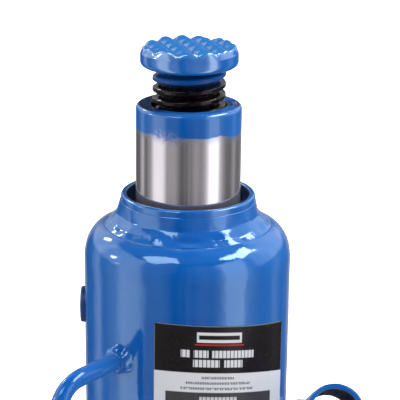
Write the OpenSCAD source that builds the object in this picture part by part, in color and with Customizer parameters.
// Hydraulic bottle jack: an assembly of separate pieces.
// Origin: on the ram axis at the underside of the base. +Z up, -Y is the operator's side, +X is the pump side.
// The rest pose has the ram part way up and the extension screw part way out.

/* [Tank and cylinder] */
// Outside diameter of the reservoir tank
tank_d = 95.2; // [94:0.2:97]
// Wall of the reservoir tank
tank_wall = 2.6; // [2:0.2:3]
// Width of the tank's shoulder, from the straight side in to the neck
shoulder_a = 17; // [16.9:0.05:17.2]
// Height of the tank's shoulder
shoulder_b = 18; // [16:0.5:19]
// Height of the rim of the neck above the ground
neck_z = 203.5; // [203:0.1:204]
// Outside diameter of the pressure cylinder, which stands out of the shoulder as the neck
neck_d = 61.5; // [61:0.1:62]

/* [Ram and screw] */
// Ram diameter
ram_d = 48; // [47.9:0.05:48]
// How far the ram is raised at rest
ram_up = 33.2; // [0:1:116]
// How far the extension screw is unscrewed at rest
screw_out = 10.7; // [0:1:79]
// Pitch of the extension screw
pitch = 5; // [4.5:0.1:5.5]
// Crest diameter of the extension screw
screw_d = 32.2; // [31:0.1:32.3]
// Saddle diameter
saddle_d = 44; // [42:0.5:48]

/* [Pump] */
// Tilt of the handle socket above level at rest
tilt = 27.5; // [20:0.5:28]
// Distance from the fulcrum pin to the plunger pin
lever_r = 20; // [19:0.5:21]
// Outside diameter of the handle socket
socket_d = 26.2; // [26:0.1:27]
// Bore of the handle socket
socket_bore = 21.6; // [21:0.1:22]
// Radial play of the handle socket's holes round the plunger pin
open_play = 1.0; // [0.9:0.05:1.2]

/* [Carry handle] */
// Diameter of the carry handle's rod
rod_d = 7.8; // [7:0.2:9]
// Height of the upper arm where it meets the tank
arm_top_z = 136; // [125:1:138]
// Height of the lower arm
arm_low_z = 52; // [45:1:65]
// Distance from the ram axis to the carry handle's grip
grip_r = 89; // [85:1:92]

/* [Hidden] */
$fn = 64;
e = 0.01;

blue = [0.07, 0.31, 0.64];
steel = [0.72, 0.73, 0.74];
dark = [0.16, 0.16, 0.17];
rubber = [0.08, 0.08, 0.09];
copper = [0.72, 0.43, 0.28];
brass = [0.74, 0.62, 0.32];

tank_r = tank_d / 2;
neck_r = neck_d / 2;
ram_r = ram_d / 2;
bore_r = 25;             // pressure cylinder bore
base_top = 30;
cyl_bottom = 15.5;
gland_z = 180;           // underside of the gland nut, the ram's upper stop
gland_top = 196;
shoulder_z = 172;        // where the shoulder starts
shoulder_n = 2.4;        // squareness of the shoulder curve
ram_bottom = 16 + ram_up;
ram_top = 212 + ram_up;
saddle_z = ram_top + 6.2 + screw_out;   // underside of the saddle
saddle_h = 8.4;
tooth_h = 2;
screw_z = saddle_z - 0.4;               // top shoulder of the screw
screw_low = saddle_z - 113.6;            // lower end of the screw
crest_r = screw_d / 2;
root_r = crest_r - 2;
thread_low = ram_top - 24;

// pump
px = 66;
plunger_z = 90.1;                        // plunger pin
py = 0;
dir_y = -cos(tilt);
dir_z = sin(tilt);
ful_y = py - lever_r * dir_y;
ful_z = plunger_z - lever_r * dir_z;
lug_y = 19;
lug_z = 41.5;
mouth = 66.1;                            // plunger pin to the socket's mouth
socket_len = 52;
pin_r = 4;

// release valve
rx = 20;
rz = 11.5;

arm_az = 38;                             // carry handle, from the operator's side towards -X

module ring(ri, ro, z0, z1) {
  difference() {
    translate([0, 0, z0]) cylinder(r = ro, h = z1 - z0);
    translate([0, 0, z0 - 1]) cylinder(r = ri, h = z1 - z0 + 2);
  }
}
// a round bar along X, centred on (y, z)
module xbar(r, x0, x1, y, z) {
  translate([x0, y, z]) rotate([0, 90, 0]) cylinder(r = r, h = x1 - x0);
}
// a round bar that runs from y0 out to y1 along -Y
module ybar(r, y0, y1, x, z) {
  translate([x, y0, z]) rotate([90, 0, 0]) cylinder(r = r, h = y0 - y1);
}
module rounded(x0, x1, y0, y1, r, h) {
  linear_extrude(height = h) {
    translate([x0 + r, y0]) square([x1 - x0 - 2 * r, y1 - y0]);
    translate([x0, y0 + r]) square([x1 - x0, y1 - y0 - 2 * r]);
    for (x = [x0 + r, x1 - r], y = [y0 + r, y1 - r]) translate([x, y]) circle(r = r);
  }
}
function arc(cx, cy, r, a0, a1, n) = [for (i = [0:n]) [cx + r * cos(a0 + (a1 - a0) * i / n), cy + r * sin(a0 + (a1 - a0) * i / n)]];

// ---- base ----
module base() {
  color(blue) difference() {
    union() {
      rotate_extrude() polygon([[0, 0], [58, 0], [60, 2], [60, 9], [57.5, 14], [53.5, 25], [51.8, 28.6], [50.4, 30], [0, 30]]);
      rounded(-64, 60, -62, 62, 20, 10);
      translate([0, 0, 10]) rounded(-62.5, 58, -60.5, 60.5, 19, 1.6);
      // pump lobe
      translate([30, -26, 0]) cube([px - 30, 52, 22]);
      translate([px, 0, 0]) cylinder(r = 26, h = 22);
      translate([px, 0, 21.9]) cylinder(r1 = 25, r2 = 19.5, h = 6.1);
      translate([px - 20, -19.5, 21.9]) cube([20, 39, 6.1]);
      rounded(30, px + 27, -36, 36, 16, 10);
      // lug for the link plates
      translate([px - 4.3, lug_y - 6.5, 12]) cube([8.6, 13, lug_z - 12]);
      xbar(6.5, px - 4.3, px + 4.3, lug_y, lug_z);
      // release valve boss
      ybar(11, -40, -68, rx, rz);
    }
    // seat of the pressure cylinder, pressure chamber and tank groove
    translate([0, 0, 14]) cylinder(r = 31, h = 20);
    translate([0, 0, 8]) cylinder(r = 22, h = 8);
    ring(44.8, 47.9, 25, 31);
    // pump seat, chamber, suction pocket
    translate([px, 0, 14]) cylinder(r = 10.6, h = 20);
    translate([px - 14.3, -14.25, 27.9]) cube([7.8, 28.5, 3.3]);
    translate([px, 0, 11]) cylinder(r = 7, h = 4);
    translate([px, 0, 7]) cylinder(r = 3.3, h = 5);
    translate([px, 0, 3.4]) cylinder(r = 1.8, h = 4);
    // suction channel from the tank floor to the pump, drilled from the lobe's end
    xbar(1.8, 38, px + 30, 0, 5);
    xbar(3.5, px + 18, px + 30, 0, 5);
    translate([38, 0, 3.4]) cylinder(r = 1.8, h = 30);
    translate([38, 0, 28]) cylinder(r = 5, h = 4);
    // delivery channel from the pump to the pressure chamber
    xbar(1.4, 12, px - 1, 4.9, 12.5);
    // link pin
    xbar(pin_r, px - 8, px + 8, lug_y, lug_z);
    // release valve: spindle bore, ball pocket, feed and return
    ybar(6, -39, -72, rx, rz);
    ybar(3.7, -30.4, -40, rx, rz);
    ybar(2, -4, -31, rx, rz);
    translate([rx, -36.2, rz]) cylinder(r = 1.6, h = 24);
    ybar(8.3, -66.5, -72, rx, rz);
    // the sunk underside between the foot pads
    translate([0, 0, -1]) ring(30, 46, 0, 3);
  }
}
module tank_gasket() { color(rubber) ring(44.9, 47.6, 25, 26.5); }

// ---- tank ----
function shoulder_curve(w, n = 16) = [for (i = [0:n]) let (t = 90 * i / n)
  [tank_r - shoulder_a + (shoulder_a - w) * pow(cos(t), 2 / shoulder_n), shoulder_z + (shoulder_b - w) * pow(sin(t), 2 / shoulder_n)]];
// the solid under the tank's skin, w in from the outside
module shoulder(w, low) {
  rotate_extrude() polygon(concat([[0, low], [tank_r - w, low]], shoulder_curve(w), [[0, shoulder_z + shoulder_b - w]]));
}
module reservoir_tank() {
  color(blue) difference() {
    shoulder(0, 26.5);
    shoulder(tank_wall, 20);
    translate([0, 0, 20]) cylinder(r = neck_r, h = 200);
    xbar(7, -tank_r - 4, -20, 0, 148);
  }
}
module rating_label() {
  // a thin printed sheet on the tank, wrapped to the operator's side
  color([0.12, 0.11, 0.12]) rotate([0, 0, -109]) rotate_extrude(angle = 88) translate([tank_r, 44]) square([0.2, 113]);
}
module filler_plug() {
  color([0.06, 0.2, 0.4]) translate([0, 0, 148]) rotate([0, -90, 0]) {
    translate([0, 0, tank_r - 9]) cylinder(r = 6.95, h = 9.6);
    difference() {
      translate([0, 0, tank_r - 1.6]) rotate_extrude() polygon([[0, 0], [8.5, 0], [8.5, 2.6], [8.2, 3.3], [7.4, 3.6], [0, 3.6]]);
      // the head follows the tank's side
      rotate([0, 90, 0]) translate([0, 0, -40]) cylinder(r = tank_r, h = 80);
    }
  }
}

// ---- carry handle ----
module rod(more = 0) {
  r = rod_d / 2 + more;
  b = 13;
  drop = 4;
  rotate([0, 0, -90 - arm_az]) rotate([90, 0, 0]) {
    // drawn in the plane of the arm: x outwards, y up
    translate([40, arm_top_z, 0]) rotate([0, 90, 0]) cylinder(r = r, h = grip_r - b - 40);
    translate([40, arm_low_z, 0]) rotate([0, 90, 0]) cylinder(r = r, h = grip_r - b - 40);
    translate([grip_r, arm_low_z + b, 0]) rotate([-90, 0, 0]) cylinder(r = r, h = arm_top_z - arm_low_z - 2 * b);
    translate([grip_r - b, arm_top_z - b, 0]) rotate_extrude(angle = 90) translate([b, 0]) circle(r = r);
    translate([grip_r - b, arm_low_z + b, 0]) rotate([0, 0, -90]) rotate_extrude(angle = 90) translate([b, 0]) circle(r = r);
  }
}
module carry_handle() {
  color(blue) difference() {
    rod();
    translate([0, 0, 20]) cylinder(r = tank_r, h = 140);
  }
}
module handle_welds() {
  color(blue) difference() {
    rotate([0, 0, -90 - arm_az]) for (z = [arm_top_z, arm_low_z]) translate([tank_r - 1.2, 0, z]) rotate([0, 90, 0]) cylinder(r1 = 7.6, r2 = 4.6, h = 5);
    rod(0.03);
    translate([0, 0, 20]) cylinder(r = tank_r + 0.08, h = 140);
  }
}

// ---- pressure cylinder and gland ----
module cylinder_gasket() { color(copper) ring(25.4, 30.6, 14, 15.5); }
module pressure_cylinder() {
  color(blue) rotate_extrude() polygon(concat(
    [[bore_r, cyl_bottom], [neck_r - 1, cyl_bottom], [neck_r, cyl_bottom + 1]],
    arc(neck_r - 1.3, neck_z - 1.3, 1.3, 0, 90, 4),
    [[28.8, neck_z], [28, neck_z - 0.8], [28, gland_z], [bore_r, gland_z]]));
}
module neck_weld() {
  color(blue) difference() {
    rotate_extrude() polygon([[neck_r - 2, 186], [37.2, 186], [37.2, 189.5], [35.8, 191], [33.6, 192.8], [32.2, 195], [31.6, 198.4], [neck_r - 2, 198.6]]);
    translate([0, 0, 180]) cylinder(r = neck_r, h = 30);
    shoulder(0, 100);
  }
}
module gland_nut() {
  color(dark) difference() {
    rotate_extrude() polygon([[ram_r + 0.05, gland_z], [27.95, gland_z], [27.95, gland_top], [25.9, gland_top], [25.9, 192.4],
      [ram_r + 0.05, 192.4], [ram_r + 0.05, 189.3], [26.6, 189.3], [26.6, 186.2], [ram_r + 0.05, 186.2]]);
    for (a = [0:90:270]) rotate([0, 0, a + 45]) translate([26.4, -2, gland_top - 3]) cube([4, 4, 4]);
  }
}
module wiper_seal() {
  color(rubber) rotate_extrude() polygon([[ram_r + 0.02, 192.4], [25.9, 192.4], [25.9, gland_top], [25.4, gland_top + 0.6], [ram_r + 0.6, gland_top + 1.8], [ram_r + 0.02, gland_top + 1.8]]);
}
module gland_oring() { color(rubber) translate([0, 0, 187.75]) rotate_extrude() translate([25.31, 0]) circle(r = 1.27); }

// ---- ram ----
module ram() {
  color(steel) difference() {
    translate([0, 0, ram_bottom]) rotate_extrude() polygon(concat(
      [[0, 0], [18, 0], [18.8, 0.8], [20, 0.8], [20, 1], [18.6, 1], [18.6, 2.4], [20, 2.4], [20, 10], [bore_r - 0.05, 10], [bore_r - 0.05, 13.6], [24.5, 14], [ram_r, 14]],
      arc(ram_r - 1.2, 196 - 1.2, 1.2, 0, 90, 4), [[0, 196]]));
    // screw bore: mouth, thread, clearance
    translate([0, 0, ram_top - 3]) cylinder(r = 17.25, h = 5);
    translate([0, 0, ram_top - 108]) cylinder(r = crest_r + 0.15, h = 110);
    translate([0, 0, ram_top - 110]) cylinder(r = 17.25, h = 110 - 24);
    translate([0, 0, ram_top - 114]) cylinder(r1 = 4, r2 = 17.25, h = 4 + e);
  }
}
module piston_cup() {
  color(rubber) translate([0, 0, ram_bottom]) rotate_extrude() polygon([[20, 4], [21.4, 4], [22.4, 6.2], [23.4, 4], [bore_r - 0.03, 4], [bore_r - 0.03, 5.5], [bore_r - 0.4, 10], [20, 10]]);
}
module piston_washer() { color(steel) ring(20, 24.4, ram_bottom + 2.4, ram_bottom + 4); }
module piston_snap_ring() {
  color(dark) difference() {
    ring(18.6, 22, ram_bottom + 1, ram_bottom + 2.4);
    translate([0, -2.5, ram_bottom - 1]) cube([30, 5, 5]);
  }
}

// ---- extension screw and saddle ----
// A right-hand rounded thread as one closed skin: cols columns round the axis, four rows to a pitch.
module thread(z0, turns, cols = 24) {
  rr = [root_r, (root_r + crest_r) / 2 + 0.1, crest_r, (root_r + crest_r) / 2 + 0.1];
  rows = turns * 4;
  pts = [for (j = [0:cols - 1], i = [0:rows]) let (a = 360 * j / cols) [rr[i % 4] * cos(a), rr[i % 4] * sin(a), z0 + pitch * (i / 4 + j / cols)]];
  tail = [for (i = [rows + 1:rows + 4]) [rr[i % 4], 0, z0 + pitch * i / 4]];
  n = rows + 1;
  all = concat(pts, tail, [[0, 0, z0 + pitch / 2], [0, 0, z0 + pitch * (turns + 0.5)]]);
  lo = len(all) - 2;
  hi = len(all) - 1;
  // index of column j, row i, where the last column is the first one a pitch higher
  function id(j, i) = j < cols ? (i <= rows ? j * n + i : cols * n + i - rows - 1) : (i + 4 <= rows ? i + 4 : cols * n + i + 4 - rows - 1);
  side = [for (j = [0:cols - 1], i = [0:rows - 1]) each [[id(j, i), id(j, i + 1), id(j + 1, i)], [id(j + 1, i), id(j, i + 1), id(j + 1, i + 1)]]];
  foot = concat([for (j = [0:cols - 1]) [lo, id(j, 0), id(j + 1, 0)]], [for (i = [0:3]) [lo, id(0, i + 1), id(0, i)]]);
  head = concat([for (j = [0:cols - 1]) [hi, id(j + 1, rows), id(j, rows)]], [for (i = [0:3]) [hi, id(0, rows + i), id(0, rows + i + 1)]]);
  polyhedron(points = all, faces = concat(side, foot, head), convexity = 10);
}
module extension_screw() {
  color(dark) resize([0, 0, 0]) union() {
    thread(screw_low + 3.6, 20);
    translate([0, 0, screw_low]) cylinder(r1 = 12.2, r2 = 13, h = 0.8, $fn = 48);
    translate([0, 0, screw_low + 0.8]) cylinder(r = 13, h = 4, $fn = 48);
    translate([0, 0, screw_low + 3.3]) cylinder(r = root_r + 0.02, h = 113.6 - 0.4 - 3.3, $fn = 48);
    translate([0, 0, screw_z - 0.1]) cylinder(r = 9, h = 5.7 + 0.5, $fn = 48);
  }
}
module screw_stop_ring() {
  color(steel) difference() {
    ring(13.1, 17, screw_low + 0.8, screw_low + 3.2);
    translate([0, -3, screw_low]) cube([30, 6, 5]);
  }
}
module saddle() {
  z1 = saddle_z + saddle_h;
  r = saddle_d / 2;
  color(blue) difference() {
    translate([0, 0, saddle_z]) rotate_extrude() polygon(concat([[0, 0]], arc(r - 4.5, 4.5, 4.5, -90, -5, 6), [[r, 5.4], [r - 0.3, 7.8], [r - 1.6, saddle_h + tooth_h], [0, saddle_h + tooth_h]]));
    // crossed vee grooves leave rows of blunt teeth
    for (side = [[17, 2.0], [107, 2.6]], i = [-3:2]) rotate([0, 0, side[0]]) translate([side[1] + 8.2 * (i + 0.5), 0, z1 + tooth_h])
      rotate([90, 0, 0]) translate([0, 0, -30]) linear_extrude(height = 60) polygon([[-3.4, 0.1], [0, -tooth_h], [3.4, 0.1]]);
    translate([0, 0, saddle_z - 1]) cylinder(r = 9.1, h = 6.7);
    ring(9, 10.6, saddle_z + 2.2, saddle_z + 3.6);
  }
}
module saddle_clip() {
  color(steel) difference() {
    ring(9.05, 10.5, saddle_z + 2.3, saddle_z + 3.5);
    translate([0, -2, saddle_z]) cube([20, 4, 6]);
  }
}

// ---- pump ----
module pump_gasket() { color(copper) translate([px, 0, 0]) ring(7.2, 10.4, 14, 15); }
module pump_cylinder() {
  color(dark) translate([px, 0, 0]) difference() {
    union() {
      translate([0, 0, 15]) cylinder(r = 10.5, h = 16);
      intersection() {
        translate([0, 0, base_top - 2]) cylinder(r = 13.85, h = 11, $fn = 6);
        translate([0, 0, base_top - 3]) cylinder(r = 13.7, h = 10.4);
      }
      intersection() {
        translate([0, 0, base_top + 7.4]) cylinder(r = 13.85, h = 1.6, $fn = 6);
        translate([0, 0, base_top + 7.4]) cylinder(r1 = 13.7, r2 = 12.5, h = 1.6);
      }
      translate([0, 0, base_top + 8]) cylinder(r = 11.9, h = 24.4);
      translate([0, 0, 62.4]) cylinder(r1 = 11.9, r2 = 11.1, h = 0.8);
    }
    translate([0, 0, 10]) cylinder(r = 6.55, h = 80);
    translate([0, 0, 59.2]) cylinder(r = 8.4, h = 8);
  }
}
module pump_wiper() { color(rubber) translate([px, 0, 0]) ring(6.52, 8.4, 59.2, 63.6); }
module pump_plunger() {
  color(steel) difference() {
    union() {
      translate([px, 0, 32.8]) cylinder(r1 = 5.4, r2 = 6.5, h = 1);
      translate([px, 0, 33.8]) cylinder(r = 6.5, h = plunger_z - 33.8);
      xbar(8.6, px - 8.8, px + 8.8, py, plunger_z);
    }
    translate([px, 0, 0]) ring(4.7, 8, 35.4, 39.2);
    xbar(pin_r, px - 12, px + 12, py, plunger_z);
  }
}
module plunger_cup() { color(rubber) translate([px, 0, 0]) ring(4.7, 6.53, 35.4, 39.2); }
// a headed pin along X with a clip groove at its inner end
module headed_pin(y, z, half, head) {
  difference() {
    union() {
      xbar(pin_r, px - half - 2.6, px + half + 0.3, y, z);
      xbar(head, px + half + 0.2, px + half + 2.2, y, z);
    }
    difference() {
      xbar(6, px - half - 1.6, px - half - 0.4, y, z);
      xbar(3, px - half - 1.7, px - half - 0.3, y, z);
    }
  }
}
module clip(y, z, half, r) {
  difference() {
    xbar(r, px - half - 1.5, px - half - 0.5, y, z);
    xbar(3, px - half - 1.7, px - half - 0.3, y, z);
    translate([px - half - 2, y - 2.6, z - 12]) cube([2, 5.2, 12]);
  }
}
module plunger_pin() { color(steel) headed_pin(py, plunger_z, 13, 6.6); }
module plunger_pin_clip() { color(dark) clip(py, plunger_z, 13, 6.6); }
module link_pin() { color(steel) headed_pin(lug_y, lug_z, 8.6, 6); }
module link_pin_clip() { color(dark) clip(lug_y, lug_z, 8.6, 6.2); }
module fulcrum_pin() { color(steel) headed_pin(ful_y, ful_z, 13, 6); }
module fulcrum_pin_clip() { color(dark) clip(ful_y, ful_z, 13, 6.2); }
module link_plates() {
  dy = ful_y - lug_y;
  dz = ful_z - lug_z;
  len_l = sqrt(dy * dy + dz * dz);
  n = [-dz / len_l * 6, dy / len_l * 6];
  color(blue) for (x = [px - 8.5, px + 4.5]) translate([x, 0, 0]) rotate([90, 0, 90]) linear_extrude(height = 4) difference() {
    union() {
      translate([lug_y, lug_z]) circle(r = 7);
      translate([ful_y, ful_z]) circle(r = 7);
      polygon([[lug_y + n[0], lug_z + n[1]], [lug_y - n[0], lug_z - n[1]], [ful_y - n[0], ful_z - n[1]], [ful_y + n[0], ful_z + n[1]]]);
    }
    translate([lug_y, lug_z]) circle(r = pin_r + 0.05);
    translate([ful_y, ful_z]) circle(r = pin_r);
  }
}
// the handle socket: a tube whose rear end is opened out into two flat cheeks
module handle_socket() {
  color(blue) translate([px, py, plunger_z]) rotate([90 - tilt, 0, 0]) difference() {
    // local z runs along the socket towards its mouth, local y is up
    union() {
      translate([0, 0, mouth - socket_len]) cylinder(r = socket_d / 2, h = socket_len);
      for (x = [-13, 9]) {
        translate([x, 0, 0]) rotate([0, 90, 0]) cylinder(r = 10.5, h = 4);
        translate([x, 0, -lever_r]) rotate([0, 90, 0]) cylinder(r = 8.5, h = 4);
        translate([x, -8.5, -lever_r]) cube([4, 17, lever_r]);
        translate([x, -7, 0]) cube([4, 14, mouth - socket_len + 6]);
      }
    }
    translate([0, 0, mouth - socket_len - 0.2]) cylinder(r = socket_bore / 2, h = socket_len + 2);
    translate([-20, 0, 0]) rotate([0, 90, 0]) cylinder(r = pin_r + open_play, h = 40);
    translate([-20, 0, -lever_r]) rotate([0, 90, 0]) cylinder(r = pin_r + 0.05, h = 40);
  }
}

// ---- valves ----
module release_ball() { color(steel) translate([rx, -34, rz]) sphere(r = 3.5); }
module release_spindle() {
  color(steel) difference() {
    union() {
      ybar(2.4, -37.5, -42, rx, rz);
      ybar(5.95, -41, -70, rx, rz);
      ybar(8, -69.9, -84, rx, rz);
      translate([rx, -84, rz]) rotate([90, 0, 0]) cylinder(r1 = 8, r2 = 6.8, h = 1.4);
    }
    difference() {
      ybar(7, -58.5, -61.5, rx, rz);
      ybar(4.3, -58, -62, rx, rz);
    }
    // cross slot for the slotted end of the handle bar
    translate([rx - 1.8, -87, rz - 10]) cube([3.6, 7, 20]);
  }
}
module release_oring() { color(rubber) translate([rx, -60, rz]) rotate([90, 0, 0]) rotate_extrude() translate([5.13, 0]) circle(r = 0.82); }
module suction_ball() { color(steel) translate([px, 0, 10]) sphere(r = 3); }
module suction_filter() { color(brass) translate([38, 0, 28]) cylinder(r = 4.9, h = 1.2); }
module channel_plug() {
  color(brass) difference() {
    xbar(3.5, px + 19, px + 25.5, 0, 5);
    translate([px + 24, -2.4, 4.4]) cube([3, 4.8, 1.2]);
  }
}

base();
tank_gasket();
reservoir_tank();
rating_label();
filler_plug();
carry_handle();
handle_welds();
cylinder_gasket();
pressure_cylinder();
neck_weld();
gland_nut();
wiper_seal();
gland_oring();
ram();
piston_cup();
piston_washer();
piston_snap_ring();
extension_screw();
screw_stop_ring();
saddle();
saddle_clip();
pump_gasket();
pump_cylinder();
pump_wiper();
pump_plunger();
plunger_cup();
plunger_pin();
plunger_pin_clip();
link_pin();
link_pin_clip();
link_plates();
fulcrum_pin();
fulcrum_pin_clip();
handle_socket();
release_ball();
release_spindle();
release_oring();
suction_ball();
suction_filter();
channel_plug();
